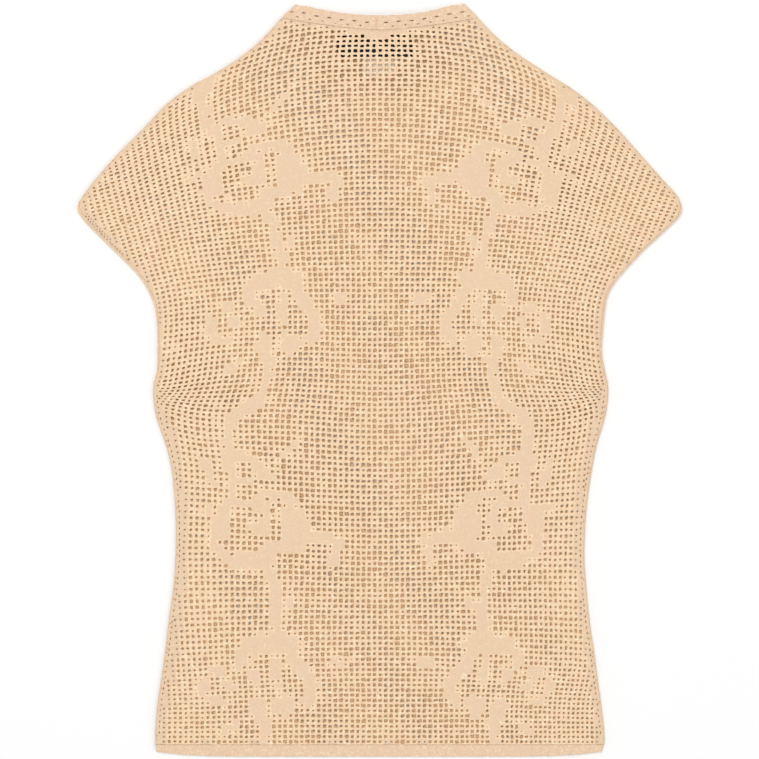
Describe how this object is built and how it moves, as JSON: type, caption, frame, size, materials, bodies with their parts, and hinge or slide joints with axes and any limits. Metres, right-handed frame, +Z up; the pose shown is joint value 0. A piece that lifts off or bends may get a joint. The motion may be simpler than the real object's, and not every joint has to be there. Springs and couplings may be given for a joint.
{
  "type": "net-knit sweater with cap sleeves and funnel neck, laid flat",
  "caption": "Net-knit pullover with cap sleeves, funnel neck and floral bands, lying flat on its front with the back upwards.",
  "frame": {"origin": "centre of the garment's outline, on the surface it lies on", "axes": "+Z up out of the garment's back, +Y towards the neck, +X to the right as seen from above"},
  "size_m": [0.4819, 0.6022, 0.0074],
  "materials": {
    "net_knit_back": "matt open net knit with solid floral areas",
    "net_knit_front": "matt open net knit with solid floral areas",
    "solid_knit": "matt close knit with fine upright ribs",
    "neck_trim": "matt close knit with small eyelets",
    "label_dark": "bare woven satin ribbon",
    "label_pale": "bare smooth woven ribbon"
  },
  "bodies": {
    "root": {"back_panel": "net_knit_back", "front_panel": "net_knit_front", "hem_band": "solid_knit", "neck_band": "neck_trim", "sleeve_binding_left": "solid_knit", "sleeve_binding_right": "solid_knit", "neck_label": "label_dark", "care_label": "label_pale"}
  },
  "joints": []
}
